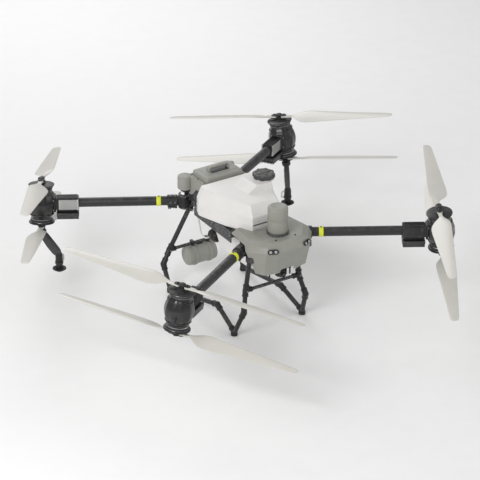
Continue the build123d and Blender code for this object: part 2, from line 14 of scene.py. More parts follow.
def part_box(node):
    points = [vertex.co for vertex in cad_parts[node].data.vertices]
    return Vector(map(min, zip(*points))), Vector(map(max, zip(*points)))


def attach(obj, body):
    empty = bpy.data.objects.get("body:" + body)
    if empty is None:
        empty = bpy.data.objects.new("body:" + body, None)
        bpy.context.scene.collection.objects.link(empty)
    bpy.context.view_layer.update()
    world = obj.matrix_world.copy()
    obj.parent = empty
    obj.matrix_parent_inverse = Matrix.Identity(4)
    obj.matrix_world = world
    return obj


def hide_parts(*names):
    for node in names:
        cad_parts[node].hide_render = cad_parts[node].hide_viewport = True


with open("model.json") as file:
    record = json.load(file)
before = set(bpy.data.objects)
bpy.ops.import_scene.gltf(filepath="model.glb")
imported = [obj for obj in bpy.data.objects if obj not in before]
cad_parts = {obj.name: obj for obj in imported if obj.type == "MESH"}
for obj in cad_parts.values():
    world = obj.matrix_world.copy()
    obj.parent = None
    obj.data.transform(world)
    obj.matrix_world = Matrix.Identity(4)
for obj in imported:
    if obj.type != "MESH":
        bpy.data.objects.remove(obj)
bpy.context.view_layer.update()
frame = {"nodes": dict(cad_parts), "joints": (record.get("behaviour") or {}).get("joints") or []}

MM = Matrix.Scale(0.001, 4)
ALONG_X = Matrix.Rotation(pi / 2, 4, "Y")
ALONG_Y = Matrix.Rotation(-pi / 2, 4, "X")
JOINTS = {joint["name"]: joint for joint in frame["joints"]}
FRONT_HINGE_Y = -326.0
SHOULDER = Vector(JOINTS["front_left_arm_fold"]["pos_m"])
DECK = Matrix.Translation((0, SHOULDER.y - FRONT_HINGE_Y / 1000, SHOULDER.z)) @ MM
GROUND_TO_DECK = SHOULDER.z * 1000


# ---- materials ----------------------------------------------------------------
def noise(tree, vector, scale, detail=3.0, stretch=None):
    """Noise texture on a coordinate output, optionally stretched."""
    if stretch:
        mapping = tree.nodes.new("ShaderNodeMapping")
        mapping.inputs["Scale"].default_value = stretch
        tree.links.new(vector, mapping.inputs["Vector"])
        vector = mapping.outputs["Vector"]
    node = tree.nodes.new("ShaderNodeTexNoise")
    node.inputs["Scale"].default_value = scale
    node.inputs["Detail"].default_value = detail
    tree.links.new(vector, node.inputs["Vector"])
    return node.outputs["Fac"]


def remap(tree, value, low, high, out_low, out_high):
    node = tree.nodes.new("ShaderNodeMapRange")
    for socket, number in zip(("From Min", "From Max", "To Min", "To Max"), (low, high, out_low, out_high)):
        node.inputs[socket].default_value = number
    tree.links.new(value, node.inputs["Value"])
    return node.outputs["Result"]


def times(tree, first, second):
    node = tree.nodes.new("ShaderNodeMath")
    node.operation = "MULTIPLY"
    tree.links.new(first, node.inputs[0])
    tree.links.new(second, node.inputs[1])
    return node.outputs["Value"]


def blended(tree, amount, first, second):
    """Mix of two colours; each is a socket or a colour triple."""
    node = tree.nodes.new("ShaderNodeMix")
    node.data_type = "RGBA"
    tree.links.new(amount, node.inputs["Factor"])
    for socket, value in ((node.inputs[6], first), (node.inputs[7], second)):
        if isinstance(value, tuple):
            socket.default_value = (*value, 1.0)
        else:
            tree.links.new(value, socket)
    return node.outputs[2]


def finish(name, colour, rough, metallic=0.0, coat=0.0, grain=900.0, depth=0.15, mottle=0.08,
           wear=0.0, wear_colour=(0.35, 0.35, 0.34), dust=0.0, streak=None, weave=False):
    """Procedural finish: mottled colour, grain bump, uneven roughness, worn edges and dust on top."""
    material = bpy.data.materials.new(name)
    material.use_nodes = True
    tree = material.node_tree
    shader = tree.nodes["Principled BSDF"]
    shader.inputs["Metallic"].default_value = metallic
    shader.inputs["Coat Weight"].default_value = coat
    shader.inputs["Coat Roughness"].default_value = 0.12
    coords = tree.nodes.new("ShaderNodeTexCoord")
    place = coords.outputs["Object"]
    broad = noise(tree, place, 9.0, 4.0)
    fine = noise(tree, place, grain, 2.0)
    dark = tuple(max(0.0, c * (1 - mottle)) for c in colour)
    light = tuple(min(1.0, c * (1 + mottle)) for c in colour)
    shade = blended(tree, remap(tree, broad, 0.3, 0.7, 0.0, 1.0), dark, light)
    height = fine
    if streak:
        lines = noise(tree, coords.outputs["UV"], 60.0, 3.0, streak)
        shade = blended(tree, remap(tree, lines, 0.35, 0.75, 0.0, 0.5), shade, dark)
    if weave:
        turn = tree.nodes.new("ShaderNodeMapping")
        turn.inputs["Rotation"].default_value = (0, 0, pi / 4)
        tree.links.new(coords.outputs["UV"], turn.inputs["Vector"])
        checker = tree.nodes.new("ShaderNodeTexChecker")
        checker.inputs["Scale"].default_value = 330.0
        tree.links.new(turn.outputs["Vector"], checker.inputs["Vector"])
        height = checker.outputs["Fac"]
        shade = blended(tree, remap(tree, height, 0, 1, 0.0, 0.45), shade, tuple(c * 1.9 for c in colour))
    if dust:
        normal = tree.nodes.new("ShaderNodeSeparateXYZ")
        tree.links.new(coords.outputs["Normal"], normal.inputs["Vector"])
        upward = remap(tree, normal.outputs["Z"], 0.2, 1.0, 0.0, dust)
        patch = remap(tree, noise(tree, place, 28.0, 5.0), 0.42, 0.7, 0.0, 1.0)
        shade = blended(tree, times(tree, upward, patch), shade, (0.46, 0.44, 0.40))
    if wear:
        edge = tree.nodes.new("ShaderNodeNewGeometry").outputs["Pointiness"]
        rubbed = times(tree, remap(tree, edge, 0.53, 0.60, 0.0, wear),
                       remap(tree, noise(tree, place, 120.0, 4.0), 0.45, 0.65, 0.0, 1.0))
        shade = blended(tree, rubbed, shade, wear_colour)
    tree.links.new(shade, shader.inputs["Base Color"])
    tree.links.new(remap(tree, broad, 0.3, 0.7, rough - 0.06, rough + 0.08), shader.inputs["Roughness"])
    bump = tree.nodes.new("ShaderNodeBump")
    bump.inputs["Strength"].default_value = depth
    bump.inputs["Distance"].default_value = 0.0006
    tree.links.new(height, bump.inputs["Height"])
    tree.links.new(bump.outputs["Normal"], shader.inputs["Normal"])
    return material


MOULDED = finish("tank_moulding", (0.77, 0.752, 0.732), 0.40, grain=420, depth=0.10, mottle=0.03, coat=0.15)
GREY = finish("warm_grey_plastic", (0.300, 0.300, 0.268), 0.46, grain=1500, depth=0.22, mottle=0.05,
              wear=0.5, wear_colour=(0.42, 0.42, 0.39), dust=0.18)
DARK_GREY = finish("dark_grey_plastic", (0.055, 0.055, 0.055), 0.52, grain=1300, depth=0.25, wear=0.4, dust=0.15)
BLACK = finish("black_plastic", (0.012, 0.012, 0.013), 0.46, grain=1400, depth=0.25, mottle=0.15, wear=0.35,
               wear_colour=(0.12, 0.12, 0.12), dust=0.10)
COATED = finish("powder_coat", (0.014, 0.014, 0.015), 0.46, grain=1100, depth=0.15, mottle=0.12, wear=0.6,
                wear_colour=(0.22, 0.22, 0.22), dust=0.12)
GLOSS = finish("gloss_black", (0.008, 0.008, 0.009), 0.27, coat=0.35, grain=700, depth=0.06, mottle=0.2,
               wear=0.3, wear_colour=(0.10, 0.10, 0.10), dust=0.06)
CARBON = finish("carbon_weave", (0.016, 0.016, 0.017), 0.48, coat=0.10, depth=0.12, mottle=0.1, dust=0.10,
                weave=True)
SILVER = finish("brushed_aluminium", (0.52, 0.52, 0.51), 0.34, metallic=1.0, grain=1600, depth=0.12, streak=(8, 1, 1))
STEEL = finish("plated_steel", (0.40, 0.40, 0.41), 0.30, metallic=1.0, grain=1200, depth=0.10, wear=0.2)
GUNMETAL = finish("dark_anodised", (0.060, 0.060, 0.064), 0.34, metallic=0.8, grain=1400, depth=0.12, wear=0.5)
YELLOW = finish("signal_yellow", (0.76, 0.80, 0.035), 0.45, grain=900, depth=0.10, mottle=0.04, wear=0.3,
                wear_colour=(0.5, 0.5, 0.2))
CREAM = finish("blade_composite", (0.66, 0.645, 0.595), 0.38, coat=0.2, grain=700, depth=0.06, mottle=0.035,
               streak=(1.0, 0.05, 1.0))
RUBBER = finish("rubber", (0.020, 0.020, 0.020), 0.70, grain=500, depth=0.4, dust=0.25)
HOSE = finish("white_hose", (0.78, 0.78, 0.75), 0.35, grain=600, depth=0.08, mottle=0.03)
LENS = finish("lens_glass", (0.42, 0.44, 0.45), 0.10, coat=1.0, grain=300, depth=0.01, mottle=0.25)
WINDOW = finish("window_black", (0.006, 0.006, 0.007), 0.10, coat=1.0, grain=300, depth=0.01)
BOARD = finish("circuit_board", (0.02, 0.11, 0.04), 0.45, grain=300, depth=0.3)


# ---- shapes -------------------------------------------------------------------
class Shape:
    """Points and faces gathered for one piece, each face with its material number."""

    def __init__(self):
        self.points, self.faces, self.marks, self.maps = [], [], [], []

    def add(self, points, faces, mark=0, place=MM, maps=None):
        base = len(self.points)
        self.points += [place @ Vector(point) for point in points]
        for number, face in enumerate(faces):
            self.faces.append([base + corner for corner in face])
            self.marks.append(mark)
            self.maps.append(maps[number] if maps else [(0.0, 0.0)] * len(face))
        return self

    def rings(self, rings, mark=0, place=MM, closed=False):
        """Skin through rings of equal count; flat ends, or the last ring joined to the first."""
        count, faces, maps, along = len(rings[0]), [], [], 0.0
        points = [Vector(point) for ring in rings for point in ring]
        around = [0.0]
        for k in range(count):
            around.append(around[-1] + (points[(k + 1) % count] - points[k]).length / 1000)
        levels = len(rings)
        for r in range(levels if closed else levels - 1):
            here, there = r * count, (r + 1) % levels * count
            step = (points[there] - points[here]).length / 1000
            for k in range(count):
                n = (k + 1) % count
                faces.append([here + k, here + n, there + n, there + k])
                maps.append([(around[k], along), (around[k + 1], along), (around[k + 1], along + step),
                             (around[k], along + step)])
            along += step
        if not closed:
            for start in (0, (levels - 1) * count):
                faces.append(list(range(start, start + count)))
                maps.append([(0.0, 0.0)] * count)
        return self.add(points, faces, mark, place, maps)

    def lathe(self, profile, mark=0, place=MM, sides=48, closed=False, lobes=0, lobe_depth=0.0):
        """Turned form from (radius, height) points, with optional soft lobes round it."""
        rings = []
        for radius, height in profile:
            ring = []
            for k in range(sides):
                angle = 2 * pi * k / sides
                reach = radius * (1 - lobe_depth * (1 - cos(lobes * angle)) / 2)
                ring.append((reach * cos(angle), reach * sin(angle), height))
            rings.append(ring)
        return self.rings(rings, mark, place, closed)

    def slab(self, outline, low, high, mark=0, place=MM, edge=1.5):
        """Flat plate on an outline, with rounded top and bottom edges."""
        soft = [(edge * sin(a), edge * (1 - cos(a))) for a in (0, radians(30), radians(60), radians(90))]
        rings = [[(x, y, low + lift) for x, y in offset(outline, -edge + side)] for side, lift in soft]
        rings += [[(x, y, high - lift) for x, y in offset(outline, -edge + side)] for side, lift in reversed(soft)]
        return self.rings(rings, mark, place)

    def box(self, xs, ys, zs, mark=0, place=MM, edge=1.5):
        """Rounded block given by its spans."""
        corner = min(edge * 1.5, (xs[1] - xs[0]) / 2.2, (ys[1] - ys[0]) / 2.2)
        edge = min(edge, (zs[1] - zs[0]) / 2.2, (xs[1] - xs[0]) / 2.5, (ys[1] - ys[0]) / 2.5)
        return self.slab(rounded_rect(xs, ys, corner), *zs, mark, place, edge)

    def tube(self, path, radius, mark=0, place=MM, sides=20, taper=None):
        """Round tube along a path."""
        path = [Vector(point) for point in path]
        side, rings = None, []
        for k, point in enumerate(path):
            ahead = (path[min(k + 1, len(path) - 1)] - path[max(k - 1, 0)]).normalized()
            if side is None:
                side = ahead.orthogonal().normalized()
            side = (side - ahead * side.dot(ahead)).normalized()
            up = ahead.cross(side)
            reach = radius if taper is None else radius + (taper - radius) * k / (len(path) - 1)
            rings.append([point + (side * cos(a) + up * sin(a)) * reach
                          for a in (2 * pi * n / sides for n in range(sides))])
        return self.rings(rings, mark, place)

    def bolt(self, at, facing, radius=4.0, mark=0, place=MM):
        """Socket-head bolt standing on a surface point."""
        seat = place @ Matrix.Translation(at) @ Vector(facing).to_track_quat("Z", "Y").to_matrix().to_4x4()
        height = radius * 0.9
        profile = [(radius, -1.5), (radius, height * 0.8), (radius * 0.86, height), (radius * 0.55, height),
                   (radius * 0.5, height * 0.35)]
        return self.lathe(profile, mark, seat, sides=18)


def offset(outline, amount):
    """Outline moved outwards by amount, corner by corner."""
    area = sum(a[0] * b[1] - b[0] * a[1] for a, b in zip(outline, outline[1:] + outline[:1]))
    way = 1 if area > 0 else -1
    moved = []
    for k, (x, y) in enumerate(outline):
        (px, py), (nx, ny) = outline[k - 1], outline[(k + 1) % len(outline)]
        first, second = Vector((x - px, y - py)).normalized(), Vector((nx - x, ny - y)).normalized()
        normal = Vector((first.y + second.y, -first.x - second.x)) * way
        scale = amount / max(0.25, normal.length_squared / 2)
        moved.append((x + normal.x * scale, y + normal.y * scale))
    return moved


def rounded_rect(xs, ys, radius, steps=3):
    points = []
    for cx, cy, start in ((xs[1] - radius, ys[1] - radius, 0), (xs[0] + radius, ys[1] - radius, 90),
                          (xs[0] + radius, ys[0] + radius, 180), (xs[1] - radius, ys[0] + radius, 270)):
        for k in range(steps + 1):
            angle = radians(start + 90 * k / steps)
            points.append((cx + radius * cos(angle), cy + radius * sin(angle)))
    return points


def stadium(length, width, steps=8):
    """Slot outline along X, centred."""
    reach, radius = (length - width) / 2, width / 2
    points = [(reach + radius * cos(a), radius * sin(a)) for a in (pi * (k / steps - 0.5) for k in range(steps + 1))]
    return points + [(-x, -y) for x, y in points]


def both_sides(half):
    return list(half) + [(-x, y) for x, y in reversed(half)]


def bent(points, radius, steps=6):
    """Path with each corner rounded over the given distance."""
    points = [Vector(point) for point in points]
    path = [points[0]]
    for before, corner, after in zip(points, points[1:], points[2:]):
        reach = min(radius, (before - corner).length * 0.45, (after - corner).length * 0.45)
        start = corner + (before - corner).normalized() * reach
        end = corner + (after - corner).normalized() * reach
        for k in range(steps + 1):
            t = k / steps
            path.append(start * (1 - t) ** 2 + corner * 2 * t * (1 - t) + end * t * t)
    return path + [points[-1]]


def piece(name, shape, materials, body, slot, replaces=(), soften=0.0, sharp=32, mirrored=False):
    """Object from a shape, riding on its body."""
    mesh = bpy.data.meshes.new(name)
    points = [(-p.x, p.y, p.z) if mirrored else tuple(p) for p in shape.points]
    mesh.from_pydata(points, [], shape.faces)
    layer = mesh.uv_layers.new(name="run")
    for polygon, mark, corners in zip(mesh.polygons, shape.marks, shape.maps):
        polygon.material_index = mark
        for loop, spot in zip(polygon.loop_indices, corners):
            layer.data[loop].uv = spot
    bm = bmesh.new()
    bm.from_mesh(mesh)
    bmesh.ops.recalc_face_normals(bm, faces=bm.faces)
    bm.to_mesh(mesh)
    bm.free()
    mesh.shade_smooth()
    for material in materials:
        mesh.materials.append(material)
    thing = bpy.data.objects.new(name, mesh)
    bpy.context.scene.collection.objects.link(thing)
    if soften:
        bevel = thing.modifiers.new("soften", "BEVEL")
        bevel.width = soften / 1000
        bevel.segments = 3
        bevel.limit_method = "ANGLE"
        bevel.angle_limit = radians(22)
        bevel.harden_normals = True
    else:
        mesh.set_sharp_from_angle(angle=radians(sharp))
    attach(thing, body)
    if replaces:
        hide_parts(*replaces)
    return thing


def pair(name, shape, materials, body, slot, replaces=(), **options):
    """The piece on the left and its mirror image on the right; {} in the names is the side."""
    for side in ("left", "right"):
        piece(name.format(side), shape, materials, body.format(side), slot,
              [node.format(side) for node in replaces], mirrored=side == "right", **options)


def frame_at(origin, x_dir, z_dir):
    """Placing matrix for millimetre shapes, from an origin in metres and two directions."""
    z_dir = z_dir.normalized()
    x_dir = (x_dir - z_dir * x_dir.dot(z_dir)).normalized()
    turn = Matrix((x_dir, z_dir.cross(x_dir), z_dir)).transposed().to_4x4()
    return Matrix.Translation(origin) @ turn @ MM


class Arm:
    """Frames of one left-hand arm, read from the joints."""

    def __init__(self, end):
        self.end = end
        name = f"{end}_left_"
        fold, spin = JOINTS[name + "arm_fold"], JOINTS[name + "upper_spin"]
        root, motor = Vector(fold["pos_m"]), Vector(spin["pos_m"])
        hinge_axis, motor_axis = (Vector(axis) * (1 if axis[2] > 0 else -1) for axis in (fold["axis"], spin["axis"]))
        along = motor - root
        self.length = along.length * 1000
        self.tube = frame_at(root, along, Vector((0, 0, 1)))
        self.hinge = frame_at(root, along, hinge_axis)
        self.pod = frame_at(motor, along, motor_axis)
        self.rotor = frame_at(motor, Vector(JOINTS[name + "upper_blade_a_fold"]["pos_m"]) - motor, motor_axis)
        self.body = end + "_{}_arm"


# ---- arms ---------------------------------------------------------------------
TUBE_R, BAND_FROM_MOTOR, BAND_W = 26.0, 632.0, 24.0
BRACKET_REACH, SADDLE_REACH = 205.0, 78.0
LEVER_X, LEVER_Z, LEVER_LENGTH = 80.0, -40.0, 42.0
POD_HALF, BELL_R, BLADE_LEVEL = 84.0, 65.0, 131.0
PIVOT_OFFSET, ROTOR_R = 27.0, 686.0


def arm_tube(arm):
    lay = arm.tube @ ALONG_X
    shape = Shape()
    runs = [40 + (arm.length - 94) * k / 12 for k in range(13)]
    shape.lathe([(TUBE_R, run) for run in runs], 0, lay)
    end = arm.length - BAND_FROM_MOTOR
    shape.lathe([(25.5, end - BAND_W), (27.6, end - BAND_W), (28.2, end - BAND_W + 1.2), (28.2, end - 1.2), (27.6, end),
                 (25.5, end)], 1, lay, closed=True)
    shape.box((end - 17, end - 7), (-6, 6), (27.2, 28.9), 2, arm.tube, 0.4)
    pair(arm.end + "_{}_arm_tube", shape, [CARBON, YELLOW, BLACK], arm.body, "carbon_tube", [arm.end + "_{}_arm"])


def arm_root(arm):
    shape = Shape()
    shape.lathe([(12.3, -31), (25, -31), (28, -29), (29, -26), (29, -13), (26.5, -11), (26.5, 11), (29, 13), (29, 26),
                 (28, 29), (25, 31), (12.3, 31)], 0, arm.hinge, closed=True)
    shape.box((8, 39), (-21, 21), (-24, 24), 0, arm.tube, 5)
    shape.lathe([(26.2, 36), (31, 36), (33, 38), (33, 47), (31, 49), (31, 55), (33, 57), (33, 66), (31, 68), (31, 74),
                 (33, 76), (33, 89), (31, 92), (26.2, 92)], 0, arm.tube @ ALONG_X, closed=True)
    shape.box((40, 88), (-11, 11), (24, 32.4), 1, arm.tube, 2)
    shape.box((38, 90), (-20, 20), (-36, -18), 0, arm.tube, 5)
    for side in (-1, 1):
        shape.box((LEVER_X - 8, LEVER_X + 8), sorted((side * 8.2, side * 13)), (LEVER_Z - 6, -26), 0, arm.tube, 1.5)
        shape.box((44, 84), sorted((side * 26, side * 31.5)), (-9, 9), 1, arm.tube, 1.6)
        for x in (50, 78):
            shape.bolt((x, side * 29.8, 0), (0, side, 0), 3.6, 2, arm.tube)
            shape.bolt((x, side * 6, 30.2), (0, 0, 1), 2.8, 2, arm.tube)
    pair(arm.end + "_{}_arm_root", shape, [BLACK, DARK_GREY, STEEL], arm.body, "black_frame")


def lever(arm):
    shape = Shape()
    rings = []
    for k in range(9):
        t = k / 8
        width, thick = 7.4 - 1.6 * sin(pi * t), 3.2 - 0.9 * t
        x, z = LEVER_X - LEVER_LENGTH * t, LEVER_Z - 0.5 - 3.0 * t * t
        rings.append([(x, u, z + v) for u, v in rounded_rect((-width, width), (-thick, thick), 1.8)])
    shape.rings(rings, 0, arm.tube)
    shape.lathe([(5.9, -7.6), (6.2, -7), (6.2, 7), (5.9, 7.6)], 0,
                arm.tube @ Matrix.Translation((LEVER_X, 0, LEVER_Z)) @ ALONG_Y, sides=28)
    shape.lathe([(2.4, -15.5), (3.6, -15.3), (3.6, -13.4), (2.4, -13.3), (2.4, 13.3), (3.6, 13.4), (3.6, 15.3),
                 (2.4, 15.5)], 1, arm.tube @ Matrix.Translation((LEVER_X, 0, LEVER_Z)) @ ALONG_Y, sides=20)
    for k in range(4):
        x = LEVER_X - LEVER_LENGTH + 5 + 5 * k
        shape.box((x - 1, x + 1), (-5, 5), (LEVER_Z - 7.4 + 0.5 * k, LEVER_Z - 4), 0, arm.tube, 0.5)
    pair(arm.end + "_{}_lever_handle", shape, [BLACK, STEEL], arm.end + "_{}_lock_lever", "lever_plastic",
         [arm.end + "_{}_lock_lever"])


def motor_bracket(arm):
    """Sleeve on the tube with heat-sink flanks, saddle and finned speed controller."""
    root, saddle = arm.length - BRACKET_REACH, arm.length - SADDLE_REACH
    cooler = 2 if arm.end == "rear" else 1
    shape = Shape()
    rings = []
    for x, grow in ((root, -2), (root + 2, 0), (saddle - 1, 0), (saddle, 0)):
        rings.append([(x, y, z) for y, z in rounded_rect((-30 - grow, 30 + grow), (-32 - grow, 35 + grow), 9, 4)])
    shape.rings(rings, 0, arm.tube)
    for side in (-1, 1):
        shape.box((root + 4, saddle - 16), sorted((side * 29, side * 33)), (-29, 29), cooler, arm.tube, 1.2)
        for k in range(13):
            x = root + 16 + 6.6 * k
            shape.box((x - 1.4, x + 1.4), sorted((side * 31, side * 38)), (-27, 27), cooler, arm.tube, 0.6)
        shape.box((root + 1, root + 11), sorted((side * 28, side * 37)), (-31, 31), cooler, arm.tube, 1.5)
    for k in range(5):
        y = -20 + 10 * k
        shape.box((root + 6, saddle - 6), (y - 2, y + 2), (32, 40), 1, arm.tube, 0.8)
    shape.box((saddle - 2, arm.length - 40), (-36, 36), (-44, 44), 0, arm.tube, 7)
    for side in (-1, 1):
        for z in (-28, 28):
            shape.bolt((saddle + 14, side * 36, z), (0, side, 0), 5, 3, arm.tube)
    shape.box((root, arm.length - 82), (-42, 42), (-68, -47), 1, arm.tube, 3)
    shape.box((root + 8, arm.length - 92), (-22, 22), (-50, -30), 0, arm.tube, 2)
    for k in range(9):
        y = -36 + 9 * k
        shape.box((root + 2, arm.length - 84), (y - 1.6, y + 1.6), (-84, -66), 1, arm.tube, 0.7)
    pair(arm.end + "_{}_motor_bracket", shape, [BLACK, GUNMETAL, SILVER, STEEL], arm.body, "motor_housing")


def motor_pod(arm):
    """Glossy barrel with bearing rings, seams and louvres."""
    shape = Shape()
    half = [(54, 84), (57, 83.5), (58.5, 80), (60, 72), (62.5, 66), (64, 64.5), (66.5, 57), (70.5, 46), (74.5, 34),
            (77.5, 21), (79.2, 8)]
    profile = [(r, -z) for r, z in half] + [(79.5, 0)] + [(r, z) for r, z in reversed(half)]
    shape.lathe(profile, 0, arm.pod, sides=96, lobes=10, lobe_depth=0.035)
    for flip in (1, -1):
        shape.lathe([(50, flip * 82), (58.5, flip * 82), (60.5, flip * 84), (60.5, flip * 85.6), (50, flip * 85.6)], 1,
                    arm.pod, sides=64, closed=True)
        shape.lathe([(62, flip * 60), (68.4, flip * 60), (69.4, flip * 57.5), (68, flip * 55.4), (62, flip * 55)], 2,
                    arm.pod, sides=64, closed=True)
    for k in range(5):
        for flip in (1, -1):
            z = flip * (14 + 7 * k)
            reach = 77.6 - 0.28 * max(0, 7 * k - 4)
            turn = arm.pod @ Matrix.Rotation(radians(flip * 8), 4, "Z")
            shape.box((reach - 5, reach + 1.0), (-15 + k, 15 - k), (z - 1.1, z + 1.1), 2, turn, 0.5)
    pair(arm.end + "_{}_motor_pod", shape, [GLOSS, STEEL, BLACK], arm.body, "motor_housing",
         [arm.end + "_{}_motor"])
    if arm.end == "rear":
        stub = Shape().lathe([(5.9, -152), (5.9, -80)], 0, arm.pod, sides=24)
        pair("{}_lance_axle", stub, [STEEL], arm.body, "motor_housing")


# ---- rotors -------------------------------------------------------------------
def hub(arm, level, flip):
    """Motor bell, flange and the blade grip with its bolts."""
    place = arm.rotor @ Matrix.Scale(flip, 4, (0, 0, 1))
    shape = Shape()
    shape.lathe([(20, 86.4), (56, 86.4), (58, 87), (61, 89), (61, 90), (62.5, 91), (62.5, 97), (61, 98), (61, 99.5),
                 (63, 101), (63, 102)], 2, place, sides=64)
    shape.lathe([(60, 97.8), (63.4, 98), (63.8, 98.8), (63.4, 99.6), (60, 99.8)], 1, place, sides=64, closed=True)
    shape.lathe([(40, 101), (66, 101), (70, 103), (71.5, 106), (71, 109), (66, 110.5), (46, 112.5), (30, 114)], 0,
                place, sides=72)
    for k in range(24):
        angle = radians(15 * k)
        turn = place @ Matrix.Rotation(angle, 4, "Z")
        shape.box((61.2, 63.6), (-2.6, 2.6), (91.5, 97.5), 2, turn, 0.4)
    shape.lathe([(27, 112), (26, 115), (22, 118), (22, 121.5)], 0, place, sides=40)
    shape.slab(stadium(2 * PIVOT_OFFSET + 38, 38), 120.6, 125.0, 0, place, 1.4)
    shape.slab(stadium(2 * PIVOT_OFFSET + 36, 34), 137.0, 141.4, 0, place, 1.6)
    for side in (-1, 1):
        spot = place @ Matrix.Translation((side * PIVOT_OFFSET, 0, 0))
        shape.lathe([(3.9, 122), (3.9, 141), (7, 141), (7.2, 142), (7, 145.4), (6, 146), (3.6, 146), (3.2, 143)], 2, spot,
                    sides=20)
    shape.lathe([(19, 141), (19, 142.5), (17.5, 145.5), (13.5, 148), (7, 149.3), (1.5, 149.6)], 0, place, sides=40)
    shape.lathe([(9.8, 120), (9.8, 141)], 0, place, sides=24)
    name = f"{arm.end}_{{}}_{level}"
    pair(name + "_hub_cap", shape, [BLACK, STEEL, GUNMETAL], name + "_rotor", "hub_metal", [name + "_hub"])


BLADE_KEYS = ((72, 19, 4, 10.6), (84, 26, 6, 10.4), (100, 45, 9, 10.0), (122, 76, 12, 9.6), (148, 101, 14.5, 9.0),
              (178, 111, 15, 8.6), (225, 109, 14, 8.0), (300, 98, 12, 7.0), (440, 79, 9, 5.4), (570, 62, 7, 4.2),
              (645, 52, 5.6, 3.4), (672, 43, 5.2, 3.0), (682, 30, 5, 2.4), (686, 12, 5, 1.6))


def blade_form():
    """One blade along +X in the rotor's frame: thin cambered wing with its root eye, level zero."""
    shape = Shape()
    rings = []
    for (r0, *first), (r1, *second) in zip(BLADE_KEYS, BLADE_KEYS[1:]):
        steps = max(2, round((r1 - r0) / 22))
        for k in range(steps if r1 < ROTOR_R else steps + 1):
            t = k / steps
            radius = r0 + (r1 - r0) * t
            chord, pitch, thick = (a + (b - a) * t for a, b in zip(first, second))
            rings.append(blade_section(radius, chord, radians(pitch), thick))
    shape.rings(rings)
    eye = [(PIVOT_OFFSET + 15 * cos(a), 15 * sin(a)) for a in (radians(60 + 20 * k) for k in range(13))]
    shape.slab(eye + [(56, -10.5), (76, -9.3), (76, 9.3), (56, 10.5)], -5.3, 5.3, 0, MM, 1.2)
    shape.lathe([(4.3, -5.6), (9, -5.6), (9.4, -5.2), (9.4, 5.2), (9, 5.6), (4.3, 5.6)], 1,
                MM @ Matrix.Translation((PIVOT_OFFSET, 0, 0)), sides=28, closed=True)
    return shape


def blade_section(radius, chord, pitch, thick):
    points = []
    count, ratio = 12, thick / chord
    middle = -0.11 * (chord - 46)
    for upper in (1, -1):
        for k in range(count):
            share = 0.5 - 0.5 * cos(pi * (k if upper > 0 else count - k) / count)
            half = 5 * ratio * (0.2969 * sqrt(share) - 0.126 * share - 0.3516 * share ** 2 + 0.2843 * share ** 3
                                - 0.1015 * share ** 4)
            across = (0.5 - share) * chord
            up = (upper * half + 0.025 * sin(pi * share)) * chord + 0.35 * upper * (share > 0.9)
            points.append((radius, middle + across * cos(pitch) - up * sin(pitch), across * sin(pitch) + up * cos(pitch)))
    return points


def blades(arm, level, flip):
    base = blade_form()
    for letter, turn in (("a", 0), ("b", pi)):
        place = arm.rotor @ Matrix.Translation((0, 0, flip * BLADE_LEVEL)) @ Matrix.Rotation(turn, 4, "Z")
        place = place @ Matrix.Scale(flip, 4, (0, 1, 0)) @ MM.inverted()
        shape = Shape()
        shape.points = [place @ point for point in base.points]
        shape.faces, shape.marks, shape.maps = base.faces, base.marks, base.maps
        name = f"{arm.end}_{{}}_{level}_blade_{letter}"
        pair(name + "_wing", shape, [CREAM, BLACK], name, "blade_composite", [name])


# ---- spray lance --------------------------------------------------------------
def lance(arm):
    """Socket under the rotor, flat-sided drop arm and the atomiser's motor barrel."""
    spot = Vector(JOINTS["left_disc_spin"]["pos_m"]) * 1000
    start = (arm.pod @ Vector((0, 0, -166))) * 1000
    shape = Shape()
    shape.lathe([(7, -151.6), (23, -151.6), (25, -153.5), (25, -171), (21, -177), (14, -180)], 0, arm.pod, sides=40)
    bend = Vector((spot.x, spot.y, spot.z + 86))
    toward = (bend - start).normalized()
    side = toward.cross(Vector((0, 0, 1))).normalized()
    up = side.cross(toward)
    rings = []
    for t, wide, deep in ((0, 11, 13), (0.06, 13, 16), (0.18, 14.5, 21), (0.5, 14.5, 24), (0.82, 14, 24), (0.94, 13, 20),
                          (1, 11, 14)):
        centre = start.lerp(bend, t) - Vector((0, 0, 5 * sin(pi * t)))
        rings.append([centre + side * u + up * v for u, v in rounded_rect((-wide, wide), (-deep, deep), 5, 4)])
    shape.rings(rings, 1)
    stand = MM @ Matrix.Translation(spot)
    shape.lathe([(15, 12), (18, 12.5), (19, 15), (19, 29), (22.5, 30), (23, 32), (23, 42), (22.5, 44), (19, 45), (19, 84),
                 (17.5, 92), (12, 97)], 0, stand, sides=40)
    for k in range(6):
        shape.box((16, 20.6), (-1.6, 1.6), (48, 80), 0, stand @ Matrix.Rotation(radians(60 * k + 15), 4, "Z"), 0.6)
    shape.tube(bent([(-20, 6, 74), (-34, 10, 74), (-36, 12, 40), (-24, 8, 36)], 14), 4.6, 2, stand, 14)
    for k in range(3):
        t = 0.3 + 0.2 * k
        at = start.lerp(bend, t) + side * 14.5
        shape.bolt(at, side, 3.4, 3)
    pair("{}_drop_arm", shape, [BLACK, DARK_GREY, HOSE, STEEL], arm.body, "lance_plastic", ["{}_spray_lance"])
    disc = Shape()
    disc.lathe([(3.9, 36), (3.9, 11), (16, 11), (17, 10), (18, 3), (36, 3), (38, 1.6), (38, -1.4), (35, -3.6), (24, -5),
                (22, -7), (21, -13), (15, -14)], 0, stand, sides=64)
    for k in range(16):
        disc.box((19, 37), (-0.7, 0.7), (2.4, 4.6), 0, stand @ Matrix.Rotation(2 * pi * k / 16, 4, "Z"), 0.3)
    pair("{}_atomiser_rotor", disc, [BLACK], "{}_atomiser_disc", "disc_plastic", ["{}_atomiser_disc"])


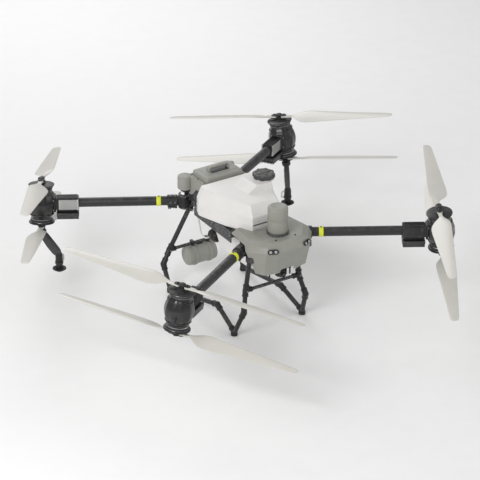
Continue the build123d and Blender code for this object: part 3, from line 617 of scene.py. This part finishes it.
# ---- nose ---------------------------------------------------------------------
def nose():
    """Faceted cover: roof round the tank, side bevels, front facets and arched lower lip."""
    shape = Shape()
    roof = [(105, -312), (136, -236), (150, -236), (176, -382), (100, -484), (60, -496)]
    rim = [(186, -233), (205, -390), (128, -500), (71, -514)]
    crease = [(213, -411), (140, -506), (82, -532)]
    chin, chin_z = [(158, -424), (134, -470), (66, -488)], -120
    points, index = [], {}

    def spot(x, y, z):
        key = (round(x, 3), y, z)
        if key not in index:
            index[key] = len(points)
            points.append(key)
        return index[key]

    faces = [[spot(x, y, 70) for x, y in both_sides(roof)]]
    for s in (1, -1):
        upper = [(s * x, y, 70) for x, y in roof[2:]]
        middle = [(s * x, y, 50) for x, y in rim]
        lower = [(s * x, y, 22) for x, y in crease]
        foot = [(s * x, y, chin_z) for x, y in chin]
        for k in range(3):
            faces.append([spot(*p) for p in (upper[k], upper[k + 1], middle[k + 1], middle[k])])
        skirt = [(s * 186.3, -235, 46.5), (s * 205.2, -391, 46.5)]
        faces.append([spot(*p) for p in (middle[0], middle[1], skirt[1], skirt[0])])
        faces.append([spot(*p) for p in (middle[1], middle[2], lower[1], lower[0], skirt[1])])
        faces.append([spot(*p) for p in (middle[2], middle[3], lower[2], lower[1])])
        faces.append([spot(*p) for p in (lower[0], lower[1], foot[1], foot[0])])
        faces.append([spot(*p) for p in (lower[1], lower[2], foot[2], foot[1])])
    faces.append([spot(s * x, y, z) for s, x, y, z in ((1, 60, -496, 70), (-1, 60, -496, 70), (-1, 71, -514, 50),
                                                      (1, 71, -514, 50))])
    faces.append([spot(s * x, y, z) for s, x, y, z in ((1, 71, -514, 50), (-1, 71, -514, 50), (-1, 82, -532, 22),
                                                      (1, 82, -532, 22))])
    arch = [(46, chin_z), (44, -110), (38, -102), (28, -98)]
    slope = (532 - 488) / (22 - chin_z)
    lip = [(66, -488, chin_z)] + [(x, -532 + (22 - z) * slope, z) for x, z in arch]
    front = [(82, -532, 22)] + lip + [(-x, y, z) for x, y, z in reversed(lip)] + [(-82, -532, 22)]
    faces.append([spot(*p) for p in front])
    shape.add(points, faces, 0, DECK)
    cover = piece("nose_shell", shape, [GREY], "airframe", "grey_shell", ["nose_cover"])
    wall = cover.modifiers.new("wall", "SOLIDIFY")
    wall.thickness = 0.004
    soften = cover.modifiers.new("soften", "BEVEL")
    soften.width, soften.segments, soften.limit_method, soften.angle_limit = 0.0045, 4, "ANGLE", radians(14)
    bm = bmesh.new()
    bm.from_mesh(cover.data)
    bmesh.ops.recalc_face_normals(bm, faces=bm.faces)
    roof_face = max(bm.faces, key=lambda face: face.calc_area() * face.normal.z ** 8 if face.normal.z > 0 else
                    face.calc_area() * face.normal.z ** 8)
    if roof_face.normal.z < 0:
        bmesh.ops.reverse_faces(bm, faces=bm.faces)
    wall.offset = -1
    bm.to_mesh(cover.data)
    bm.free()

    trim = Shape()
    for s in (1, -1):
        trim.bolt((s * 62, -474, 70), (0, 0, 1), 4.6, 0, DECK)
        trim.box(sorted((s * 158, s * 198)), (-438, -394), (-50, -16), 1, DECK, 6)
        for k in range(4):
            trim.box(sorted((s * 162, s * 199)), (-434, -398), (-45 + 8 * k, -42 + 8 * k), 2, DECK, 0.8)
    piece("nose_trim", trim, [BLACK, DARK_GREY, COATED], "airframe", "grey_shell")


def vision():
    """Oval twin-lens windows on the corner facets."""
    shape = Shape()
    for s in (1, -1):
        face = Vector((s * 26, -58, 16)).normalized()
        across = Vector((58, s * 26, 0)).normalized()
        centre = DECK @ Vector((s * 108.5, -519.5, 33))
        place = frame_at(centre, across, face)
        shape.slab(stadium(58, 25), -3, 2.2, 0, place, 1.0)
        shape.slab(stadium(61, 28), -3, 0.8, 1, place, 0.8)
        for x in (-14, 14):
            lens = place @ Matrix.Translation((x, 0, 0))
            shape.lathe([(9.6, 1.5), (9.6, 3.2), (8.6, 3.8), (8.2, 3.0)], 1, lens, sides=32)
            shape.lathe([(8.2, 2.6), (7.2, 3.6), (4.5, 4.6), (1, 5.0)], 2, lens, sides=32)
    piece("vision_windows", shape, [WINDOW, BLACK, LENS], "airframe", "sensor_black", ["vision_sensors"])


def front_radar():
    shape = Shape()
    place = DECK @ Matrix.Translation((0, -400, 0))
    shape.lathe([(50, 70.3), (57, 70.3), (59, 72), (59, 84), (57.5, 86.5), (50, 87)], 1, place, sides=72)
    shape.lathe([(50, 86), (54.4, 86), (54.4, 88), (55, 90), (55, 150), (54.6, 150.6), (55, 151.4), (55, 214),
                 (54, 220), (51, 225), (46, 227.6), (36, 228), (34, 227.6), (2, 227.6)], 0, place, sides=96)
    for k in range(4):
        turn = place @ Matrix.Rotation(radians(90 * k + 40), 4, "Z")
        shape.box((57, 61), (-7, 7), (71, 82), 1, turn, 1)
        shape.bolt((61, 0, 76.5), (1, 0, 0), 2.6, 2, turn)
    piece("front_radar_dome", shape, [GREY, DARK_GREY, STEEL], "airframe", "grey_shell", ["front_radar"])


def forward_camera():
    pivot = JOINTS["camera_tilt"]["pos_m"]
    place = Matrix.Translation(pivot) @ MM
    shape = Shape()
    shape.box((-20, 20), (-20, 20), (-20, 20), 0, place, 10)
    lens = place @ Matrix.Rotation(pi / 2, 4, "X")
    shape.lathe([(16, 18), (16, 22), (14, 24), (13, 26), (13, 29.5), (11.5, 30), (10, 27), (9, 26)], 1, lens, sides=40)
    shape.lathe([(9.4, 26), (8, 27.4), (5, 28.4), (1, 28.8)], 2, lens, sides=32)
    shape.lathe([(2.9, -29), (2.9, 29)], 1, place @ ALONG_X, sides=20)
    for z in (-9, -4.5, 0, 4.5, 9):
        shape.box((-14, 14), (18, 20.2), (z - 1.2, z + 1.2), 0, place, 0.5)
    piece("camera_head", shape, [DARK_GREY, BLACK, WINDOW], "forward_camera", "sensor_black", ["forward_camera"])


# ---- tank ---------------------------------------------------------------------
def tank():
    """Moulded tank with wide bevelled shoulders, sump, filler deck and threaded neck."""
    side = [(98, -305), (165, -142), (216, 47), (198, 92)]
    top = [(86, -262), (134, -142), (178, 40), (170, 90)]
    lower = [(84, -290), (96, -280), (103, 60), (98, 90)]
    sump = [(62, -230), (78, -216), (78, 40), (62, 60)]

    def ring(half, z):
        return [(x, y, z) for x, y in both_sides(half)]

    shape = Shape()
    under = [(x * 0.97, y + (3 if y < 0 else -3)) for x, y in side]
    shape.rings([ring(under, 43.6), ring(side, 52), ring(side, 140), ring(top, 198)], 0, DECK)
    piece("tank_body", shape, [MOULDED], "spray_tank", "tank_plastic", ["spray_tank"], soften=7)
    shape = Shape()
    shape.rings([ring(sump, -190), ring(lower, -40), ring(lower, 46)], 0, DECK)
    piece("tank_sump", shape, [MOULDED], "spray_tank", "tank_plastic", soften=12)
    shape = Shape()
    low = [(-24, 4), (-24, -146), (140, -148), (184, 4)]
    high = [(36, 0), (36, -142), (134, -142), (176, 0)]
    shape.rings([[(x, y, 190) for x, y in low], [(x, y, 198) for x, y in low], [(x, y, 232) for x, y in high]], 0, DECK)
    piece("tank_filler_deck", shape, [MOULDED], "spray_tank", "tank_plastic", soften=6)
    lid = Vector(JOINTS["lid_unscrew"]["pos_m"])
    neck = Matrix.Translation(lid) @ MM
    shape = Shape()
    shape.lathe([(43, -12), (56, -9), (57, -6), (56, -3), (50, -2.5), (50, 2), (49, 3), (49, 7), (49.8, 8), (49.8, 11),
                 (49, 12), (49, 16), (49.8, 17), (49.8, 20), (49, 21), (49, 25.6), (43, 25.6)], 0, neck, sides=72,
                closed=True)
    for s in (1, -1):
        for k in range(3):
            y = -60 + 60 * k
            shape.box(sorted((s * 150, s * 158)), (y - 1, y + 13), (60, 62), 0, DECK, 0.8)
    belt = [ring([(x + 1.2, y) for x, y in side], z) for z in (94.5, 97.5)]
    shape.rings([ring(side, 93), *belt, ring(side, 99)], 0, DECK)
    piece("tank_neck", shape, [MOULDED], "spray_tank", "tank_plastic")


def tank_lid():
    """Eight-lobed screw lid with a raised grip bar and vent."""
    place = Matrix.Translation(Vector(JOINTS["lid_unscrew"]["pos_m"])) @ MM
    shape = Shape()
    shape.lathe([(50.6, 0.4), (58, 0.4), (60.5, 3), (61, 7), (61, 21), (60, 24), (57, 26.5), (50.6, 26.8)], 0, place,
                sides=128, closed=True, lobes=8, lobe_depth=0.10)
    shape.lathe([(20, 26), (54, 26), (52, 27.2), (44, 27.4), (42, 26.6), (30, 26.6), (28, 27.0), (8, 27.2)], 0,
                place, sides=96)
    shape.box((-46, 46), (-7, 7), (24, 29.9), 0, place, 2.4)
    shape.box((-7, 7), (-46, 46), (24, 29.4), 0, place, 2.4)
    for k in range(8):
        turn = place @ Matrix.Rotation(radians(45 * k), 4, "Z")
        shape.box((40, 57), (-4.5, 4.5), (25, 28.6), 0, turn, 1.2)
        for tilt in (-8, -4, 0, 4, 8):
            rib = place @ Matrix.Rotation(radians(45 * k + tilt), 4, "Z")
            shape.box((58.5, 61.6), (-0.9, 0.9), (5, 22), 0, rib, 0.4)
    piece("lid_cap", shape, [DARK_GREY], "tank_lid", "lid_plastic", ["tank_lid"])


# ---- battery and rear deck ----------------------------------------------------
BATTERY_X, BATTERY_Y, BATTERY_Z = 118.0, (112.0, 262.0), (50.0, 214.0)


def battery():
    middle = sum(BATTERY_Y) / 2
    shape = Shape()
    shape.box((-BATTERY_X, BATTERY_X), BATTERY_Y, BATTERY_Z, 0, DECK, 9)
    for k in range(7):
        x = -84 + 28 * k
        for y0, y1 in ((BATTERY_Y[0] - 1.2, BATTERY_Y[0] + 6), (BATTERY_Y[1] - 6, BATTERY_Y[1] + 1.2)):
            shape.box((x - 5, x + 5), (y0, y1), (66, 176), 1, DECK, 1)
    shape.box((-92, 92), (middle - 46, middle + 46), (BATTERY_Z[1] - 3, BATTERY_Z[1] + 2), 0, DECK, 2)
    # Black plate under the grip: painted shade, a dark sheet standing for the shadow in the gap under the handle.
    shape.box((-56, 56), (middle - 30, middle + 30), (BATTERY_Z[1] + 1, BATTERY_Z[1] + 2.8), 2, DECK, 0.8)
    grip = bent([(-61, middle, BATTERY_Z[1] - 4), (-61, middle, BATTERY_Z[1] + 27), (61, middle, BATTERY_Z[1] + 27),
                 (61, middle, BATTERY_Z[1] - 4)], 20)
    rings = []
    for k, point in enumerate(grip):
        ahead = (grip[min(k + 1, len(grip) - 1)] - grip[max(k - 1, 0)]).normalized()
        up = ahead.cross(Vector((0, 1, 0)))
        rings.append([point + Vector((0, u, 0)) + up * v for u, v in rounded_rect((-14, 14), (-6, 6), 4)])
    shape.rings(rings, 0, DECK)
    shape.box((-26, 26), (middle + 22, middle + 36), (BATTERY_Z[1] + 1, BATTERY_Z[1] + 4), 2, DECK, 1)
    for k in range(4):
        at = DECK @ Matrix.Translation((-18 + 12 * k, middle + 29, BATTERY_Z[1] + 4))
        shape.lathe([(2.6, -1), (2.6, 0.6), (1.4, 1.1)], 3, at, sides=16)
    piece("battery_case", shape, [GREY, DARK_GREY, BLACK, LENS], "battery", "battery_case", ["battery"])


AERIAL_X, AERIAL_Y, SHELF_Z = 151.0, 284.0, 104.0


def battery_bay():
    """Rear deck: black housing with a grey top frame, aerial drum on the right and cone on the left."""
    shape = Shape()
    outer = rounded_rect((-134, 134), (98, 278), 12)
    inner = rounded_rect((-121, 121), (109, 265), 8)
    lower = ((outer, 43), (outer, 148), (offset(outer, -2.5), 150), (offset(outer, -2.5), 155), (inner, 155), (inner, 43))
    upper = ((offset(outer, -1.5), 155), (outer, 157), (outer, 181), (offset(outer, -4), 187), (inner, 187),
             (inner, 155))
    for levels, mark in ((lower, 1), (upper, 0)):
        shape.rings([[(x, y, z) for x, y in outline] for outline, z in levels], mark, DECK, closed=True)
    shape.box((-96, 96), (93.5, 99), (160, 165), 1, DECK, 1.5)
    for k in range(9):
        x = -88 + 22 * k
        shape.box((x - 7, x + 7), (95.5, 99), (66, 120), 2, DECK, 1)
        shape.box((x - 7, x + 7), (277, 280.5), (66, 120), 2, DECK, 1)
    for s in (1, -1):
        for y in (122, 188, 254):
            shape.bolt((s * 128, y, 187), (0, 0, 1), 3.4, 2, DECK)
        for k in range(6):
            y = 124 + 18 * k
            shape.box(sorted((s * 132, s * 136.5)), (y - 6, y + 6), (60, 116), 2, DECK, 1)
        shelf = [(s * x, y) for x, y in rounded_rect((130, 177), (250, 304), 12, 5)]
        shape.slab(shelf, SHELF_Z - 14, SHELF_Z, 1, DECK, 2.5)
        shape.box(sorted((s * 134, s * 160)), (272, 280), (58, SHELF_Z - 12), 1, DECK, 2)
    flank = DECK @ Matrix(((0, 0, 1, 0), (1, 0, 0, 0), (0, 1, 0, 0), (0, 0, 0, 1)))
    cowl = [(104, 183), (272, 183), (284, 160), (284, 108), (252, 72), (226, 84), (196, 120), (104, 142)]
    for low, high in ((133, 139), (-139, -133)):
        shape.slab(cowl, low, high, 0, flank, 1.8)
    shape.box((-162, -130), (262, 300), (SHELF_Z + 8, SHELF_Z + 66), 0, DECK, 8)
    shape.box((130, 150), (266, 296), (SHELF_Z - 2, SHELF_Z + 14), 0, DECK, 4)
    drum = DECK @ Matrix.Translation((-AERIAL_X, AERIAL_Y, SHELF_Z))
    shape.lathe([(30, 0), (39.5, 0), (41, 1.5), (41, 12), (40, 13), (40, 15), (41, 16), (41, 66), (39.5, 71), (35, 74),
                 (28, 75), (2, 75)], 0, drum, sides=80)
    cone = DECK @ Matrix.Translation((AERIAL_X, AERIAL_Y, SHELF_Z))
    shape.lathe([(20, 0), (25, 0), (26, 1.5), (26, 15), (24, 18), (23, 19), (16, 74), (14.5, 79), (11, 81), (2, 81)], 0,
                cone, sides=56)
    piece("rear_deck", shape, [GREY, BLACK, DARK_GREY], "airframe", "grey_shell", ["battery_bay"])


# ---- landing gear and underside -----------------------------------------------
LEG_R = 13.0
FRONT_LEG = [(152, -362, 468), (172, -351, 273), (201, -378, 157), (222, -315, 12)]
REAR_LEG = [(88, 335, 474), (199, 378, 219), (250, 360, 152), (243, 302, 12)]
SKID = [(222, -312, 22), (208, -127, 100), (243, 298, 22)]


def sleeve(shape, point, toward, length, radius, place, mark=1):
    """Cast socket round a tube, from a point along a direction."""
    way = (Vector(toward) - Vector(point)).normalized()
    seat = place @ Matrix.Translation(point) @ way.to_track_quat("Z", "Y").to_matrix().to_4x4()
    shape.lathe([(radius - 2, -2), (radius, 0), (radius, length - 8), (radius + 1.5, length - 7), (radius + 1.5, length - 2),
                 (radius - 1, length)], mark, seat, sides=32)


def landing_gear():
    """Bent tubes with cast joints and rubber feet, left and right."""
    ground = DECK @ Matrix.Translation((0, 0, -GROUND_TO_DECK))
    shape = Shape()
    for path in (FRONT_LEG, REAR_LEG, SKID):
        shape.tube(bent(path, 46), LEG_R, 0, ground, 28)
    for path, k in ((FRONT_LEG, 1), (FRONT_LEG, 2), (REAR_LEG, 1), (REAR_LEG, 2), (SKID, 1)):
        for other in (path[k - 1], path[k + 1]):
            sleeve(shape, path[k], other, 34, LEG_R + 3.5, ground)
        knot = ground @ Matrix.Translation(path[k])
        shape.lathe([(8, -16), (14, -12), (17, -5), (17.5, 0), (17, 5), (14, 12), (8, 16)], 1, knot, sides=32)
    for path, z in ((FRONT_LEG, 12), (REAR_LEG, 12)):
        x, y, _ = path[-1]
        foot = ground @ Matrix.Translation((x, y, 0))
        shape.lathe([(15, 0.4), (18.4, 0.6), (19, 2.5), (19, 8), (17.5, 9), (17.5, 12), (19, 13), (19, 20), (16.5, 26),
                     (13, 34), (12, 36)], 2, foot, sides=40)
    for path, k in ((FRONT_LEG, 1), (REAR_LEG, 1)):
        x, y, z = path[k]
        sleeve(shape, (x, y, z), (0, y, z), 40, 14, ground)
        shape.bolt((x, y - LEG_R - 4, z), (0, -1, 0), 4.2, 3, ground)
    for at, other in ((SKID[0], SKID[1]), (SKID[2], SKID[1])):
        sleeve(shape, at, other, 30, LEG_R + 3, ground)
    shape.box((132, 170), (-380, -343), (440, 476), 1, ground, 5)
    shape.box((72, 104), (323, 352), (460, 480), 1, ground, 4)
    pair("{}_gear_frame", shape, [COATED, BLACK, RUBBER, STEEL], "airframe", "black_frame", ["landing_gear_{}"])


def rear_radar():
    """Horizontal radar drum in two straps under the rear crossbar."""
    low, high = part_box("rear_radar")
    centre = Vector((0, (low.y + high.y) / 2, low.z + 0.061))
    place = Matrix.Translation(centre) @ MM
    shape = Shape()
    lay = place @ ALONG_X
    shape.lathe([(38, -88), (49, -88), (53, -86), (55.5, -81), (56, -76), (56, 76), (55.5, 81), (53, 86), (49, 88),
                 (38, 88)], 0, lay, sides=96)
    for s in (1, -1):
        shape.lathe([(2, s * 86), (46, s * 86), (47, s * 87.6), (46, s * 89), (2, s * 89.4)], 0, lay, closed=True)
        shape.lathe([(56, s * 48 - 9), (60, s * 48 - 9), (61, s * 48 - 7), (61, s * 48 + 7), (60, s * 48 + 9),
                     (56, s * 48 + 9)], 0, lay, sides=72, closed=True)
        shape.box((s * 48 - 9, s * 48 + 9), (-17, 17), (58, 88), 1, place, 3)
        for x in (-5, 5):
            shape.bolt((s * 48 + x, -17, 62), (0, -1, 0), 2.2, 2, place)
    shape.box((-20, 20), (-6, 6), (52, 62), 1, place, 2)
    piece("rear_radar_drum", shape, [GREY, BLACK, STEEL], "airframe", "grey_shell", ["rear_radar"])


PUMP_X, PUMP_Y, PUMP_Z = 56.0, 128.0, -150.0


def pumps():
    """Tray, two impeller pumps with finned motors, manifold and outlet fittings."""
    shape = Shape()
    shape.box((-124, 124), (104, 168), (-12, -2.4), 0, DECK, 2.5)
    for s in (1, -1):
        lay = DECK @ Matrix.Translation((s * PUMP_X, PUMP_Y, PUMP_Z)) @ ALONG_Y
        shape.lathe([(20, -31), (28, -30), (31, -26), (32, -20), (32, -6), (30, -4), (30, 2), (32, 4), (32, 26), (30, 30),
                     (20, 30), (20, 42), (17, 45), (6, 45)], 1, lay, sides=64)
        for k in range(10):
            shape.box((30, 34), (-1.3, 1.3), (6, 27), 1, lay @ Matrix.Rotation(2 * pi * k / 10, 4, "Z"), 0.5)
            shape.bolt((25 * cos(2 * pi * k / 10), 25 * sin(2 * pi * k / 10), -30), (0, 0, -1), 2.4, 3, lay)
        out = DECK @ Matrix.Translation((s * PUMP_X, PUMP_Y, PUMP_Z)) @ ALONG_X
        ends = (20, 42) if s > 0 else (-42, -20)
        shape.lathe([(10, ends[0]), (11, ends[0] + 2), (11, sum(ends) / 2), (9.5, sum(ends) / 2 + 1),
                     (11, sum(ends) / 2 + 3), (11, ends[1] - 1), (8, ends[1])], 2, out, sides=32)
        shape.box(sorted((s * (PUMP_X - 10), s * (PUMP_X + 10))), (PUMP_Y - 20, PUMP_Y + 20), (PUMP_Z + 26, -11), 0, DECK,
                  3)
        shape.box(sorted((s * 84, s * 104)), (302, 322), (-62, -42), 0, DECK, 3)
        shape.lathe([(7, -9), (8.5, -8), (8.5, 0), (7, 1)], 2,
                    DECK @ Matrix.Translation((s * 94, 302, -52)) @ ALONG_Y, sides=24)
    shape.box((-26, 26), (PUMP_Y - 12, PUMP_Y + 12), (PUMP_Z - 14, PUMP_Z + 10), 1, DECK, 4)
    piece("pump_group", shape, [COATED, BLACK, DARK_GREY, STEEL], "airframe", "black_frame", ["pumps"])


def hinge_hardware():
    """Ribs, bolts and covers on the two crossmembers and the side rails."""
    shape = Shape()
    for s in (1, -1):
        for end in ("front", "rear"):
            hinge = Vector(JOINTS[f"{end}_left_arm_fold"]["pos_m"])
            centre = DECK.inverted() @ hinge
            x, y = centre.x, centre.y
            for z in (-14, 14):
                shape.bolt((s * (x - 66), y + (-17 if end == "front" else 17), z), (0, -1 if end == "front" else 1, 0), 5,
                           1, DECK)
            shape.box(sorted((s * (x - 60), s * (x - 30))), (y - 14, y + 14), (25, 30), 0, DECK, 2)
        for x, y in ((170.9, -193.1), (160.7, -5.4), (150.4, 182.3)):
            for z in (12, 28):
                shape.bolt((s * x, y, z), (s, 0.055, 0), 4.2, 1, DECK)
    piece("frame_hardware", shape, [BLACK, STEEL], "airframe", "black_frame")


def dress_cad():
    """Finishes for the CAD nodes that stay in view."""
    looks = {"side_rail_left": COATED, "side_rail_right": COATED, "crossmembers": COATED, "crossbars": COATED,
             "camera_bracket": BLACK, "arm_hinge_pins": STEEL, "avionics": BOARD, "liquid_hoses": HOSE}
    for name, material in looks.items():
        thing = frame["nodes"][name]
        thing.data.materials.clear()
        thing.data.materials.append(material)
        thing.data.shade_smooth()
        thing.data.set_sharp_from_angle(angle=radians(32))


# ---- stage --------------------------------------------------------------------
def stage():
    """Pale floor, soft studio lights and the camera."""
    floor_shape = Shape().slab([(-20000, -20000), (20000, -20000), (20000, 30000), (-20000, 30000)], -60, -0.2, edge=5)
    mesh = bpy.data.meshes.new("floor")
    mesh.from_pydata([tuple(p) for p in floor_shape.points], [], floor_shape.faces)
    mesh.materials.append(finish("pale_floor", (0.95, 0.95, 0.95), 0.75, grain=200, depth=0.04, mottle=0.01))
    floor = bpy.data.objects.new("floor", mesh)
    bpy.context.scene.collection.objects.link(floor)
    world = bpy.data.worlds.new("studio")
    world.use_nodes = True
    world.node_tree.nodes["Background"].inputs["Color"].default_value = (1.0, 1.0, 1.0, 1.0)
    world.node_tree.nodes["Background"].inputs["Strength"].default_value = 0.47
    bpy.context.scene.world = world
    bpy.context.scene.view_settings.view_transform = "Standard"
    centre = Vector((0, 0, 0.45))
    for name, at, size, power in (("key", (-5.2, -2.6, 4.2), 3.0, 230), ("fill", (5.0, -4.0, 3.0), 4.0, 60),
                                  ("rim", (1.5, 5.5, 4.0), 3.5, 120)):
        light = bpy.data.lights.new(name, "AREA")
        light.size, light.energy = size, power
        lamp = bpy.data.objects.new(name, light)
        lamp.location = at
        lamp.rotation_mode = "QUATERNION"
        lamp.rotation_quaternion = (centre - Vector(at)).to_track_quat("-Z", "Y")
        bpy.context.scene.collection.objects.link(lamp)
    lens = bpy.data.cameras.new("camera")
    lens.lens, lens.sensor_width, lens.clip_end = 200.14, 36.0, 100.0
    camera = bpy.data.objects.new("camera", lens)
    camera.location = (-7.1647, -10.9056, 6.8912)
    camera.rotation_euler = (radians(63.51), 0.0, radians(-33.35))
    bpy.context.scene.collection.objects.link(camera)
    bpy.context.scene.camera = camera


for end in ("front", "rear"):
    arm = Arm(end)
    arm_tube(arm)
    arm_root(arm)
    lever(arm)
    motor_bracket(arm)
    motor_pod(arm)
    for level, flip in (("upper", 1), ("lower", -1)):
        hub(arm, level, flip)
        blades(arm, level, flip)
    if end == "rear":
        lance(arm)
for build in (nose, vision, front_radar, forward_camera, tank, tank_lid, battery, battery_bay, landing_gear, rear_radar,
              pumps, hinge_hardware, dress_cad, stage):
    build()
